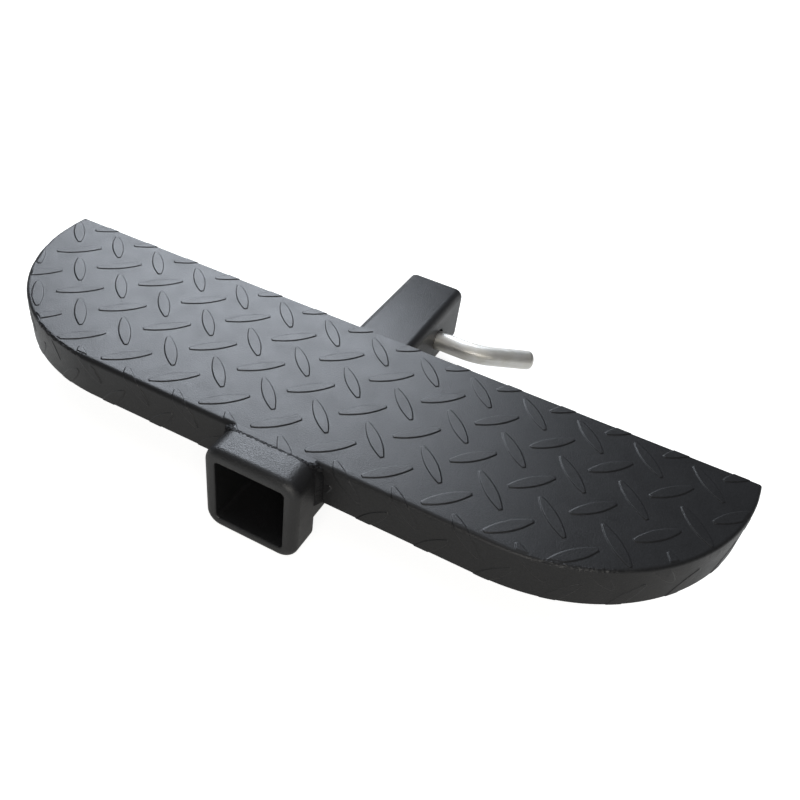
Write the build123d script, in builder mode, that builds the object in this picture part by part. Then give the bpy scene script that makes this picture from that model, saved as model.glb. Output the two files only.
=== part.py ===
from build123d import *
import os
from math import ceil, cos, hypot, pi, radians, sin, sqrt

# Step for a square trailer hitch: a folded tread plate on a receiver tube, with a shank and its bent pin.
# Millimetres. X runs along the tread, Y points towards the vehicle, Z is up.
# The origin is on the shank's axis, at the middle of its pin hole.

# Shank
shank_size = 50.0
shank_wall = 5.0
shank_bore_corner = 2.0     # corner radius inside the shank
pin_to_end = 44.0           # pin hole to the shank's free end
pin_to_deck = 66.0          # pin hole to the deck's rear edge
shank_in_tube = 50.0        # length held inside the receiver tube

# Receiver tube and its collar
slip = 0.5                  # gap on each side of a shank inside the receiver
receiver_wall = 4.0
opening_corner = 3.0
tube_set_back = 8.0         # deck's rear edge to the tube's rear end
collar_wall = 5.5           # thickness of the collar round the tube
collar_length = 23.5
collar_lip = 9.0            # part of the collar that covers the tube's end
mouth_rim = 3.4             # flat ring round the mouth, inside the rounded front edge
receiver_pin_depth = 65.0   # mouth to the receiver's own pin hole
receiver_pin_hole = 16.7

# Tread plate
deck_length = 580.0
deck_depth = 146.0
deck_side = 4.5             # straight stretch of each end beside the rear corner
sheet = 3.0
skirt_height = 31.5
fold_radius = 3.5           # outside radius of the front fold
tab_reach = 4.5             # flat tab over the tube, in front of the skirt
notch_gap = 0.5             # gap on each side of the tube where it passes under the tab

# Raised lugs of the tread pattern
lug_length = 34.0
lug_width = 8.6
lug_height = 0.7
lug_draft_angle = 38.0
lug_lean_angle = 46.0
lug_facets = 3              # straight cuts along each curved side of a lug
lug_pitch_x = 41.0
lug_pitch_y = 43.2
lug_first_x = 10.7          # a column of lugs beside the middle of the deck
lug_first_row = 19.8        # first full row, from the deck's rear edge

# Welds
corner_weld = 3.2           # groove along the deck's round ends
corner_chamfer = 2.0
weld_leg = 4.5
weld_bulge = 0.7
weld_toe = 0.4
weld_lap = 2.5              # width of the front bead on the deck's tab
back_weld_leg = 4.0
stitch_length = 32.0
stitch_count = 3

# Bent pin
pin_diameter = 16.0
pin_hole = 18.5
pin_rest_gap = 0.3          # gap under the pin where it lies in its hole
pin_tip_reach = 6.0         # tip beyond the shank's left side
pin_tip_chamfer = 2.5
pin_run_out = 23.0          # straight stretch outside the shank's right side
pin_bend_radius = 40.0
pin_bend_angle = 37.0
pin_handle = 36.0
pin_droop_angle = 12.0      # turn of the handle below the level
pin_end_chamfer = 3.0
clip_hole = 4.5
clip_hole_from_tip = 12.0

# Levels and places that follow from the sizes above
receiver_opening = shank_size + 2 * slip
receiver_size = receiver_opening + 2 * receiver_wall
receiver_corner = opening_corner + receiver_wall
shank_corner = shank_bore_corner + shank_wall
collar_size = receiver_size + 2 * collar_wall
collar_corner = receiver_corner + collar_wall
collar_round = collar_wall + receiver_wall - mouth_rim
deck_under = receiver_size / 2
deck_top = deck_under + sheet
skirt_bottom = deck_top - skirt_height
deck_rear = -pin_to_deck
deck_front = deck_rear - deck_depth
tube_rear = deck_rear - tube_set_back
collar_rear = deck_front - tab_reach
collar_front = collar_rear - collar_length
tube_front = collar_front + collar_lip
shank_front = tube_rear - shank_in_tube
deck_end_radius = deck_depth - deck_side
front_half = deck_length / 2 - deck_end_radius
end_centre_y = deck_rear - deck_side
tab_width = receiver_size + 2 * notch_gap
pin_level = -(pin_hole - pin_diameter) / 2 + pin_rest_gap

# Distances along the developed sheet, from the deck's rear edge over the fold and down the skirt
fold_start = deck_depth - fold_radius
fold_end = fold_start + fold_radius * pi / 2
fold_drop = fold_radius * (1 - cos(pi / 4))
lug_reach = lug_length / 2 * sin(radians(lug_lean_angle))

os.makedirs("parts", exist_ok=True)


def deck_plan(inset=0.0):
    """Plan of the deck, moved inwards along its front and round ends."""
    with BuildSketch() as plan:
        with Locations((0, deck_rear)):
            Rectangle(deck_length - 2 * inset, deck_depth - inset, align=(Align.CENTER, Align.MAX))
        fillet(plan.vertices().group_by(Axis.Y)[0], deck_end_radius - inset)
    return plan.sketch


def edge_distance(x, y):
    """Distance of a point inside the deck's outline, negative outside it."""
    sides = min(deck_length / 2 - abs(x), deck_rear - y, y - deck_front)
    beyond = abs(x) - front_half
    if beyond > 0 and y < end_centre_y:
        return deck_end_radius - hypot(beyond, y - end_centre_y)
    return sides


def skirt_location(along, level):
    """Place on the skirt's outer face, a distance along it from the middle, with Z pointing outwards."""
    side = 1 if along > 0 else -1
    beyond = max(abs(along) - front_half, 0)
    turn = min(beyond / deck_end_radius, pi / 2)
    straight = max(beyond - deck_end_radius * pi / 2, 0)
    out_x = side * sin(turn)
    out_y = -cos(turn)
    x = max(min(along, front_half), -front_half) + deck_end_radius * out_x
    y = end_centre_y + deck_end_radius * out_y + straight
    return Plane((x, y, level), (-out_y, out_x, 0), (out_x, out_y, 0)).location


def skirt_level(distance):
    """Height on the skirt of a distance along the developed sheet."""
    return deck_top - fold_radius - (distance - fold_end)


def ring_weld(tube, corner, y):
    """Bead round a square tube, on the rear face of what the tube goes into."""
    outside = tube + 2 * back_weld_leg
    corner_cut = (corner + back_weld_leg) * (2 - sqrt(2))
    with BuildPart() as ring:
        with BuildSketch(Plane.XZ.offset(-y)) as plan:
            Rectangle(outside, outside)
            chamfer(plan.vertices(), corner_cut)
            RectangleRounded(tube, tube, corner, mode=Mode.SUBTRACT)
        extrude(amount=-back_weld_leg)
        outer_edges = ring.faces().sort_by(Axis.Y)[-1].outer_wire().edges()
        chamfer(outer_edges, back_weld_leg - weld_toe)
    return ring.part


# Tread pattern: two sets of lugs that lean opposite ways, half a pitch apart
half_skirt = front_half + deck_end_radius * pi / 2 + deck_side
columns = ceil(half_skirt / lug_pitch_x) + 1
rows = ceil((fold_end + skirt_height) / lug_pitch_y) + 1
deck_lug_places = []
edge_lug_places = []
for row in range(rows):
    for column in range(-columns, columns + 1):
        for lean, shift in ((-lug_lean_angle, 0.0), (lug_lean_angle, 0.5)):
            along = lug_first_x + (column + shift) * lug_pitch_x
            distance = lug_first_row + (row - shift) * lug_pitch_y
            y = deck_rear - distance
            over_fold = distance + lug_reach > fold_start
            on_front = over_fold and abs(along) < front_half
            turned = Location((0, 0, 0), (0, 0, lean))
            if on_front and distance - lug_reach < fold_start:
                edge_lug_places.append(Location((along, y, deck_top)) * turned)
            elif not on_front and edge_distance(along, y) > -0.6 * lug_reach:
                deck_lug_places.append(Location((along, y, deck_top)) * turned)
            if over_fold and abs(along) < half_skirt:
                edge_lug_places.append(skirt_location(along, skirt_level(distance)) * turned)

with BuildSketch() as lug_plan:
    with BuildLine():
        bow = ThreePointArc(
            (-lug_length / 2, 0), (0, -lug_width / 2), (lug_length / 2, 0), mode=Mode.PRIVATE
        )
        near_side = [bow @ (cut / lug_facets) for cut in range(lug_facets)]
        Polyline(*near_side, *(-point for point in near_side), close=True)
    make_face()

with BuildPart() as deck_lug:
    add(lug_plan.sketch)
    extrude(amount=lug_height, taper=lug_draft_angle)

with BuildPart() as edge_lug:
    with BuildSketch(Plane.XY.offset(-fold_drop)):
        add(lug_plan.sketch)
    extrude(amount=fold_drop + lug_height)

# Lugs on the flat deck, sheared off flush with its edges
with BuildPart() as deck_lugs:
    with Locations(*deck_lug_places):
        add(deck_lug.part)
    with BuildSketch(Plane.XY.offset(deck_top)):
        add(deck_plan(corner_weld))
    extrude(amount=lug_height, mode=Mode.INTERSECT)

# Outer limit of the lugs that run over the fold and round the skirt
with BuildPart() as edge_limit:
    with BuildSketch(Plane.XY.offset(skirt_bottom)):
        add(deck_plan(-lug_height))
    extrude(amount=skirt_height - fold_radius)
    with BuildSketch(Plane.YZ) as fold_limit:
        with Locations((deck_front - lug_height, skirt_bottom)):
            Rectangle(deck_depth + lug_height, skirt_height + lug_height, align=(Align.MIN, Align.MIN))
        fillet(fold_limit.vertices().group_by(Axis.X)[0].sort_by(Axis.Y)[-1], fold_radius + lug_height)
    extrude(amount=front_half, both=True)
    with Locations((0, collar_rear, deck_under)):
        Box(
            tab_width, tab_reach + fold_radius, sheet + lug_height,
            align=(Align.CENTER, Align.MIN, Align.MIN),
        )

# Lugs over the fold and on the skirt, ground away where the collar is welded on
with BuildPart() as edge_lugs:
    with Locations(*edge_lug_places):
        add(edge_lug.part)
    add(edge_limit.part, mode=Mode.INTERSECT)
    with Locations((0, deck_front, skirt_bottom)):
        Box(
            collar_size + 2 * weld_leg, 2 * lug_height, deck_under - skirt_bottom,
            align=(Align.CENTER, Align.MAX, Align.MIN), mode=Mode.SUBTRACT,
        )

# Rims of the round ends, where the deck's edge is welded to the wrapped skirt
with BuildSketch() as end_rims:
    add(deck_plan())
    add(deck_plan(corner_weld), mode=Mode.SUBTRACT)
    with Locations((0, deck_rear)):
        Rectangle(2 * front_half, deck_depth, align=(Align.CENTER, Align.MAX), mode=Mode.SUBTRACT)

# Tread plate: deck, folded skirt, lugs, and the notch for the tube under a tab that is left flat
with BuildPart() as tread_deck:
    with BuildSketch(Plane.XY.offset(skirt_bottom)):
        add(deck_plan())
    extrude(amount=skirt_height)
    with BuildSketch(Plane.XY.offset(skirt_bottom)):
        add(deck_plan(sheet))
    extrude(amount=skirt_height - sheet, mode=Mode.SUBTRACT)
    for inset, mode in ((sheet, Mode.ADD), (0, Mode.SUBTRACT)):
        bend_radius = fold_radius - inset
        with BuildSketch(Plane.YZ):
            with Locations((deck_front + inset, deck_top - inset)):
                Rectangle(bend_radius, bend_radius, align=(Align.MIN, Align.MAX))
            with Locations((deck_front + fold_radius, deck_top - fold_radius)):
                Circle(bend_radius, mode=Mode.SUBTRACT)
        extrude(amount=front_half, both=True, mode=mode)
    with Locations((0, collar_rear, deck_under)):
        Box(tab_width, tab_reach + fold_radius, sheet, align=(Align.CENTER, Align.MIN, Align.MIN))
    with BuildSketch(Plane.XY.offset(deck_top)):
        add(end_rims.sketch)
    extrude(amount=-corner_weld, mode=Mode.SUBTRACT)
    add(deck_lugs.part)
    add(edge_lugs.part)
    with Locations((0, deck_front, skirt_bottom)):
        Box(
            tab_width, 2 * fold_radius + sheet, deck_under - skirt_bottom,
            align=(Align.CENTER, Align.CENTER, Align.MIN), mode=Mode.SUBTRACT,
        )
tread_deck.part.label = "tread_deck"
export_step(tread_deck.part, "parts/tread_deck.step")

# Ground corner welds that round off the deck's ends
for side, rim in zip(("left", "right"), end_rims.faces().sort_by(Axis.X)):
    with BuildPart() as corner_bead:
        with BuildSketch(Plane.XY.offset(deck_top - corner_weld)):
            add(rim)
        extrude(amount=corner_weld)
        top_arcs = corner_bead.edges().group_by(Axis.Z)[-1].filter_by(GeomType.CIRCLE)
        chamfer(top_arcs.sort_by(SortBy.RADIUS)[-1], corner_chamfer)
    corner_bead.part.label = f"corner_weld_{side}"
    export_step(corner_bead.part, f"parts/corner_weld_{side}.step")

# Receiver tube under the deck, with cross holes for a receiver pin
with BuildPart() as receiver_tube:
    with BuildSketch(Plane.XZ.offset(-tube_rear)):
        RectangleRounded(receiver_size, receiver_size, receiver_corner)
        RectangleRounded(receiver_opening, receiver_opening, opening_corner, mode=Mode.SUBTRACT)
    extrude(amount=tube_rear - tube_front)
    with BuildSketch(Plane.YZ):
        with Locations((collar_front + receiver_pin_depth, 0)):
            Circle(receiver_pin_hole / 2)
    extrude(amount=receiver_size, both=True, mode=Mode.SUBTRACT)
receiver_tube.part.label = "receiver_tube"
export_step(receiver_tube.part, "parts/receiver_tube.step")

# Collar round the receiver's mouth: a rounded lip in front of the tube's end, a seat round the tube behind it
with BuildPart() as receiver_collar:
    with BuildSketch(Plane.XZ.offset(-collar_rear)):
        RectangleRounded(collar_size, collar_size, collar_corner)
    extrude(amount=collar_length)
    fillet(receiver_collar.faces().sort_by(Axis.Y)[0].edges(), collar_round)
    with BuildSketch(Plane.XZ.offset(-collar_rear)):
        RectangleRounded(receiver_size, receiver_size, receiver_corner)
    extrude(amount=collar_length - collar_lip, mode=Mode.SUBTRACT)
    with BuildSketch(Plane.XZ.offset(-collar_rear)):
        RectangleRounded(receiver_opening, receiver_opening, opening_corner)
    extrude(amount=collar_length, mode=Mode.SUBTRACT)
receiver_collar.part.label = "receiver_collar"
export_step(receiver_collar.part, "parts/receiver_collar.step")

# Square shank with its pin hole
with BuildPart() as hitch_shank:
    with BuildSketch(Plane.XZ.offset(-pin_to_end)):
        RectangleRounded(shank_size, shank_size, shank_corner)
        inner_size = shank_size - 2 * shank_wall
        RectangleRounded(inner_size, inner_size, shank_bore_corner, mode=Mode.SUBTRACT)
    extrude(amount=pin_to_end - shank_front)
    with BuildSketch(Plane.YZ):
        Circle(pin_hole / 2)
    extrude(amount=shank_size, both=True, mode=Mode.SUBTRACT)
hitch_shank.part.label = "hitch_shank"
export_step(hitch_shank.part, "parts/hitch_shank.step")

# Bead in the step between the deck's tab and the collar's top, rounded off with the collar's corners
with BuildPart() as deck_front_weld:
    with BuildSketch(Plane.YZ):
        with BuildLine():
            bead_root = (collar_rear, deck_top)
            bead_head = (collar_rear, collar_size / 2)
            bead_toe = (collar_rear + weld_lap, deck_top)
            Polyline(bead_root, bead_head, bead_toe, close=True)
        make_face()
    extrude(amount=collar_size / 2, both=True)
    with BuildSketch(Plane.XZ.offset(-collar_rear)):
        RectangleRounded(collar_size, collar_size, collar_corner)
    extrude(amount=-weld_lap, mode=Mode.INTERSECT)
    add(tread_deck.part, mode=Mode.SUBTRACT)
deck_front_weld.part.label = "deck_front_weld"
export_step(deck_front_weld.part, "parts/deck_front_weld.step")

# Welds that fill the gap between the skirt and the collar's back, with a fillet along the collar's sides
for side, sign, outward in (("left", -1, Align.MAX), ("right", 1, Align.MIN)):
    with BuildPart() as side_bead:
        tab_side = sign * tab_width / 2
        with BuildSketch(Plane.XZ.offset(-collar_rear)):
            RectangleRounded(collar_size, collar_size, collar_corner)
            with Locations((tab_side, skirt_bottom)):
                Rectangle(collar_size, collar_size, align=(outward, Align.MIN), mode=Mode.INTERSECT)
        extrude(amount=-(tab_reach + sheet / 2))
        with BuildSketch(Plane.XY.offset(skirt_bottom)):
            with BuildLine():
                skirt_toe = (sign * (collar_size / 2 + weld_leg), deck_front)
                collar_toe = (sign * collar_size / 2, collar_rear - weld_leg / 2)
                bead_middle = (
                    (skirt_toe[0] + collar_toe[0]) / 2 + sign * weld_bulge,
                    (skirt_toe[1] + collar_toe[1]) / 2 - weld_bulge,
                )
                ThreePointArc(skirt_toe, bead_middle, collar_toe)
                Polyline(collar_toe, (tab_side, collar_toe[1]), (tab_side, deck_front), skirt_toe)
            make_face()
        extrude(amount=skirt_height - fold_radius)
        add([receiver_collar.part, tread_deck.part], mode=Mode.SUBTRACT)
    side_bead.part.label = f"collar_side_weld_{side}"
    export_step(side_bead.part, f"parts/collar_side_weld_{side}.step")

# Bead between the collar's back and the tube, below the skirt
with BuildPart() as collar_tube_weld:
    add(ring_weld(receiver_size, receiver_corner, collar_rear))
    split(bisect_by=Plane.XY.offset(skirt_bottom), keep=Keep.BOTTOM)
collar_tube_weld.part.label = "collar_tube_weld"
export_step(collar_tube_weld.part, "parts/collar_tube_weld.step")

# Bead round the shank at the tube's rear end
with BuildPart() as shank_weld:
    add(ring_weld(shank_size, shank_corner, tube_rear))
shank_weld.part.label = "shank_weld"
export_step(shank_weld.part, "parts/shank_weld.step")

# Stitch welds in the corners between the tube and the deck's underside
stitch_span = tube_rear - deck_front - sheet
stitch_pitch = stitch_span / stitch_count
for side, sign in (("left", -1), ("right", 1)):
    with BuildPart() as stitches:
        with BuildSketch(Plane.XZ.offset(stitch_length / 2)):
            with BuildLine():
                tube_half = receiver_size / 2
                Polyline(
                    (sign * (tube_half - receiver_corner), deck_under),
                    (sign * (tube_half + weld_leg), deck_under),
                    (sign * tube_half, deck_under - receiver_corner - weld_toe),
                    close=True,
                )
            make_face()
        bead = extrude(amount=-stitch_length, mode=Mode.PRIVATE)
        with Locations((0, deck_front + sheet + stitch_span / 2, 0)):
            with GridLocations(stitch_pitch, stitch_pitch, 1, stitch_count):
                add(bead)
        add(receiver_tube.part, mode=Mode.SUBTRACT)
    stitches.part.label = f"deck_tube_weld_{side}"
    export_step(stitches.part, f"parts/deck_tube_weld_{side}.step")

# Bent bar of the pin, along X
with BuildPart() as bent_bar:
    tip_x = -shank_size / 2 - pin_tip_reach
    bend_x = shank_size / 2 + pin_run_out
    with BuildLine():
        shaft = Line((tip_x, 0), (bend_x, 0))
        bend = JernArc(shaft @ 1, shaft % 1, pin_bend_radius, pin_bend_angle)
        Line(bend @ 1, bend @ 1 + pin_handle * (bend % 1))
    with BuildSketch(Plane((tip_x, 0, 0), (0, 1, 0), (1, 0, 0))):
        Circle(pin_diameter / 2)
    sweep()
    chamfer(bent_bar.faces().sort_by(Axis.X)[0].edges(), pin_tip_chamfer)
    chamfer(bent_bar.faces().filter_by(GeomType.PLANE).sort_by(Axis.X)[-1].edges(), pin_end_chamfer)
    with Locations((tip_x + clip_hole_from_tip, 0)):
        Cylinder(clip_hole / 2, 2 * pin_diameter, mode=Mode.SUBTRACT)

# Pin lying in the bottom of its hole, with its handle turned towards the vehicle and a little down
with BuildPart() as hitch_pin:
    with Locations(Location((0, 0, pin_level), (-pin_droop_angle, 0, 0))):
        add(bent_bar.part)
hitch_pin.part.label = "hitch_pin"
export_step(hitch_pin.part, "parts/hitch_pin.step")
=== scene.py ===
from math import acos, atan2, ceil, cos, hypot, pi, radians, sin, sqrt

import bmesh
import bpy
import numpy as np
from mathutils import Matrix, Vector, kdtree, noise
from mathutils.geometry import delaunay_2d_cdt


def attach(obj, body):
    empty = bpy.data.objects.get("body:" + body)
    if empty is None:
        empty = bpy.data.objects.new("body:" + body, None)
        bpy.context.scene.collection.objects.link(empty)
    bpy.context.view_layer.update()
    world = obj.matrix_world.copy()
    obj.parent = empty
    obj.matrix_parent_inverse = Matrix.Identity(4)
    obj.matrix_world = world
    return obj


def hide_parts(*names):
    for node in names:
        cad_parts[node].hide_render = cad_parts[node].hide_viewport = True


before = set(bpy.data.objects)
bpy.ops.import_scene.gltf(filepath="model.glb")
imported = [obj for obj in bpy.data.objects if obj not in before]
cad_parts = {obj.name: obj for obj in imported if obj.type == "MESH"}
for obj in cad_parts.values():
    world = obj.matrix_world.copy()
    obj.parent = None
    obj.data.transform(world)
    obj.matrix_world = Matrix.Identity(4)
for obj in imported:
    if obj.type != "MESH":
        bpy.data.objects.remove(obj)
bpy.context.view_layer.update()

# Sizes in millimetres, as in the solids, but with lower lugs. X runs along the deck, Y towards the vehicle.
MM = 0.001
DECK_TOP, DECK_UNDER, SKIRT_BOTTOM = 32.5, 29.5, 1.0
DECK_REAR, DECK_DEPTH, DECK_LENGTH, DECK_SIDE = -66.0, 146.0, 580.0, 4.5
DECK_FRONT = DECK_REAR - DECK_DEPTH
SHEET, FOLD, TAB_REACH = 3.0, 3.5, 4.5
COLLAR_REAR = DECK_FRONT - TAB_REACH
END_RADIUS = DECK_DEPTH - DECK_SIDE
FRONT_HALF = DECK_LENGTH / 2 - END_RADIUS
HALF_SKIRT = FRONT_HALF + END_RADIUS * pi / 2 + DECK_SIDE
FOLD_START = DECK_DEPTH - FOLD
FOLD_END = FOLD_START + FOLD * pi / 2
SHEET_END = FOLD_END + DECK_TOP - FOLD - SKIRT_BOTTOM
INNER_BEND = FOLD - SHEET
NOTCH_HALF, TAB_HALF = 30.0, 29.9
TAB_END = DECK_DEPTH + TAB_REACH
NOTCH_TOP = FOLD_START + FOLD * acos(1 - SHEET / FOLD)

LUG_LENGTH, LUG_WIDTH, LUG_HEIGHT, LUG_LEAN = 34.0, 8.6, 0.5, 46.0
LUG_BOW_LENGTH = 40.0
LUG_PITCH_X, LUG_PITCH_Y = 41.0, 43.2
LUG_FIRST_X, LUG_FIRST_ROW = 10.7, 19.8
LUG_REACH = LUG_LENGTH / 2 * sin(radians(LUG_LEAN))
LUG_FOOT, LUG_SIDE, LUG_RIM = 0.1, 0.38, 0.6
COLLAR_CLEAR = 39.5

SHANK, SHANK_BORE, SHANK_CORNER, BORE_CORNER = 50.0, 40.0, 7.0, 2.0
SHANK_END, SHANK_FRONT = 44.0, -124.0
TUBE, OPENING, TUBE_CORNER, OPENING_CORNER = 59.0, 51.0, 7.0, 3.0
TUBE_REAR, TUBE_FRONT = -74.0, -231.0
COLLAR, COLLAR_CORNER, COLLAR_ROUND, COLLAR_FRONT = 70.0, 12.5, 6.1, -240.0
RECEIVER_PIN_Y, RECEIVER_PIN_HOLE, SHANK_PIN_HOLE = -175.0, 16.7, 18.5

PIN_RADIUS, PIN_LEVEL, PIN_TIP, PIN_BEND_X = 8.0, -0.95, -31.0, 48.0
PIN_BEND_RADIUS, PIN_BEND_ANGLE, PIN_HANDLE, PIN_DROOP = 40.0, 37.0, 36.0, 12.0
CLIP_HOLE_X, CLIP_HOLE = -19.0, 4.5

# How near points count as one, lie on a line or close a seam, in millimetres
MERGE_REACH, SLIVER, SEAM_REACH, SEAM_PASSES = 0.002, 0.0005, 0.08, 16
ON_LINE, BESIDE_SEAM, PATCH_REACH = 1e-4, 1e-3, 1e-5
HOLE_REACH, HOLE_SIDES = 400.0, 64
# Edges sharper than these angles, in degrees, stay sharp in shading
EDGE_SHARP, PLATE_SHARP, PIN_SHARP, WELD_SHARP = 35.0, 40.0, 50.0, 60.0


def smooth(t):
    """Smooth step from 0 to 1."""
    t = min(max(t, 0.0), 1.0)
    return t * t * (3 - 2 * t)


def wave(x, y=0.0, z=0.0):
    """Even noise between -1 and 1."""
    return noise.noise(Vector((x, y, z)))


class Shell:
    """Vertices and faces of one piece, in millimetres."""

    def __init__(self):
        self.points = []
        self.faces = []

    def add(self, point):
        self.points.append(tuple(point))
        return len(self.points) - 1

    def rings(self, rings, closed=False, around=True):
        """Quads between rings of points; around joins each ring's ends, closed the last ring to the first."""
        rows = [[self.add(p) for p in ring] for ring in rings]
        pairs = list(zip(rows, rows[1:])) + ([(rows[-1], rows[0])] if closed else [])
        for low, high in pairs:
            count = len(low)
            for i in range(count if around else count - 1):
                j = (i + 1) % count
                self.faces.append((low[i], low[j], high[j], high[i]))
        return rows

    def join_chains(self, first, second, along):
        """Triangles between two chains of vertices, by each vertex's place along them."""
        i = j = 0
        while i < len(first) - 1 or j < len(second) - 1:
            more = i < len(first) - 1
            if j == len(second) - 1 or (more and along[first[i + 1]] <= along[second[j + 1]]):
                self.faces.append((first[i], first[i + 1], second[j]))
                i += 1
            else:
                self.faces.append((first[i], second[j + 1], second[j]))
                j += 1

    def mesh(self, name, sharp=EDGE_SHARP):
        mesh = bpy.data.meshes.new(name)
        mesh.from_pydata([Vector(p) * MM for p in self.points], [], self.faces)
        obj = bpy.data.objects.new(name, mesh)
        bpy.context.scene.collection.objects.link(obj)
        tidy_mesh(obj, sharp)
        return obj


def close_seams(bm):
    """Splits open edges at the open vertices that lie on them, so that sheets that meet are joined."""
    for _ in range(SEAM_PASSES):
        edges = [edge for edge in bm.edges if edge.is_boundary]
        points = list(dict.fromkeys(vert for edge in edges for vert in edge.verts))
        tree = kdtree.KDTree(len(points))
        for k, vert in enumerate(points):
            tree.insert(vert.co, k)
        tree.balance()
        cuts = []
        for edge in edges:
            start, end = edge.verts
            along = end.co - start.co
            for place, k, _ in tree.find_range((start.co + end.co) / 2, along.length / 2):
                t = (place - start.co).dot(along) / along.length_squared
                off = (start.co + along * t - place).length
                if points[k] not in (start, end) and 0 < t < 1 and off < SEAM_REACH * MM:
                    cuts.append((edge, start, t, place.copy()))
                    break
        if not cuts:
            break
        for edge, start, t, place in cuts:
            bmesh.utils.edge_split(edge, start, t)[1].co = place
        bmesh.ops.remove_doubles(bm, verts=bm.verts, dist=MERGE_REACH * MM)


def tidy_mesh(obj, sharp):
    """Merges double points, turns faces outwards and shades smooth between sharp edges."""
    bm = bmesh.new()
    bm.from_mesh(obj.data)
    bmesh.ops.remove_doubles(bm, verts=bm.verts, dist=MERGE_REACH * MM)
    close_seams(bm)
    bmesh.ops.dissolve_degenerate(bm, edges=bm.edges, dist=SLIVER * MM)
    bmesh.ops.recalc_face_normals(bm, faces=bm.faces)
    bm.to_mesh(obj.data)
    bm.free()
    obj.data.shade_smooth()
    obj.data.set_sharp_from_angle(angle=radians(sharp))


def cut_round(obj, x, y, z, diameter, axis, sharp=EDGE_SHARP):
    """Cuts a round hole right through a piece, along X or Z."""
    shell = Shell()
    rings = []
    for end in (-HOLE_REACH, HOLE_REACH):
        ring = []
        for k in range(HOLE_SIDES):
            a = 2 * pi * k / HOLE_SIDES
            across, up = diameter / 2 * cos(a), diameter / 2 * sin(a)
            ring.append((end, y + across, z + up) if axis == "X" else (x + across, y + up, end))
        rings.append(ring)
    rows = shell.rings(rings)
    shell.faces += [tuple(rows[0]), tuple(rows[1])]
    cutter = shell.mesh("hole_cutter")
    modifier = obj.modifiers.new("hole", "BOOLEAN")
    modifier.object = cutter
    modifier.solver = "EXACT"
    bpy.context.view_layer.update()
    result = bpy.data.meshes.new_from_object(obj.evaluated_get(bpy.context.evaluated_depsgraph_get()))
    obj.modifiers.clear()
    obj.data = result
    bpy.data.objects.remove(cutter)
    tidy_mesh(obj, sharp)


def finish_piece(obj, material, body, slot, *nodes):
    """Gives a piece its material and the body it rides on, and hides the solids it stands for."""
    obj.data.materials.clear()
    obj.data.materials.append(material)
    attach(obj, body)
    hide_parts(*nodes)


# Materials
def node_material(name):
    material = bpy.data.materials.new(name)
    material.use_nodes = True
    tree = material.node_tree
    return material, tree, tree.nodes["Principled BSDF"]


def add_node(tree, kind, **values):
    node = tree.nodes.new(kind)
    for key, value in values.items():
        if key in node.inputs:
            node.inputs[key].default_value = value
        else:
            setattr(node, key, value)
    return node


def noise_node(tree, scale, detail, rough, stretch=(1, 1, 1)):
    """Noise in object coordinates; scale is in features per metre."""
    coords = add_node(tree, "ShaderNodeTexCoord")
    mapping = add_node(tree, "ShaderNodeMapping")
    mapping.inputs["Scale"].default_value = stretch
    tree.links.new(coords.outputs["Object"], mapping.inputs["Vector"])
    node = add_node(tree, "ShaderNodeTexNoise", Scale=scale, Detail=detail, Roughness=rough)
    tree.links.new(mapping.outputs["Vector"], node.inputs["Vector"])
    return node.outputs["Fac"]


def ramp_node(tree, source, stops):
    node = add_node(tree, "ShaderNodeValToRGB")
    node.color_ramp.elements[0].position, node.color_ramp.elements[0].color = stops[0]
    node.color_ramp.elements[1].position, node.color_ramp.elements[1].color = stops[-1]
    for position, color in stops[1:-1]:
        node.color_ramp.elements.new(position).color = color
    tree.links.new(source, node.inputs["Fac"])
    return node.outputs["Color"]


def range_node(tree, source, low, high, first=0.3, last=0.7):
    """Takes the values from first to last to the range from low to high."""
    node = add_node(tree, "ShaderNodeMapRange")
    node.inputs["From Min"].default_value = first
    node.inputs["From Max"].default_value = last
    node.inputs["To Min"].default_value = low
    node.inputs["To Max"].default_value = high
    tree.links.new(source, node.inputs["Value"])
    return node.outputs["Result"]


def bump_node(tree, source, strength, distance, before=None):
    node = add_node(tree, "ShaderNodeBump", Strength=strength, Distance=distance)
    tree.links.new(source, node.inputs["Height"])
    if before is not None:
        tree.links.new(before, node.inputs["Normal"])
    return node.outputs["Normal"]


def powder_coat(name, dark, light, rough_low, rough_high, peel, gloss):
    """Black powder coat: fine grain, faint orange peel and slow waves in the sheet."""
    material, tree, shader = node_material(name)
    tone = ramp_node(tree, noise_node(tree, 900.0, 4.0, 0.65), [(0.32, dark), (0.72, light)])
    tree.links.new(tone, shader.inputs["Base Color"])
    rough = range_node(tree, noise_node(tree, 60.0, 5.0, 0.6), rough_low, rough_high)
    tree.links.new(rough, shader.inputs["Roughness"])
    slow = bump_node(tree, noise_node(tree, 14.0, 2.0, 0.4), 0.22, 0.0006)
    orange = bump_node(tree, noise_node(tree, 420.0, 2.0, 0.5), peel, 0.00022, slow)
    grain = bump_node(tree, noise_node(tree, 950.0, 3.0, 0.7), peel, 0.0011, orange)
    tree.links.new(grain, shader.inputs["Normal"])
    shader.inputs["Specular IOR Level"].default_value = gloss
    return material


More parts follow.
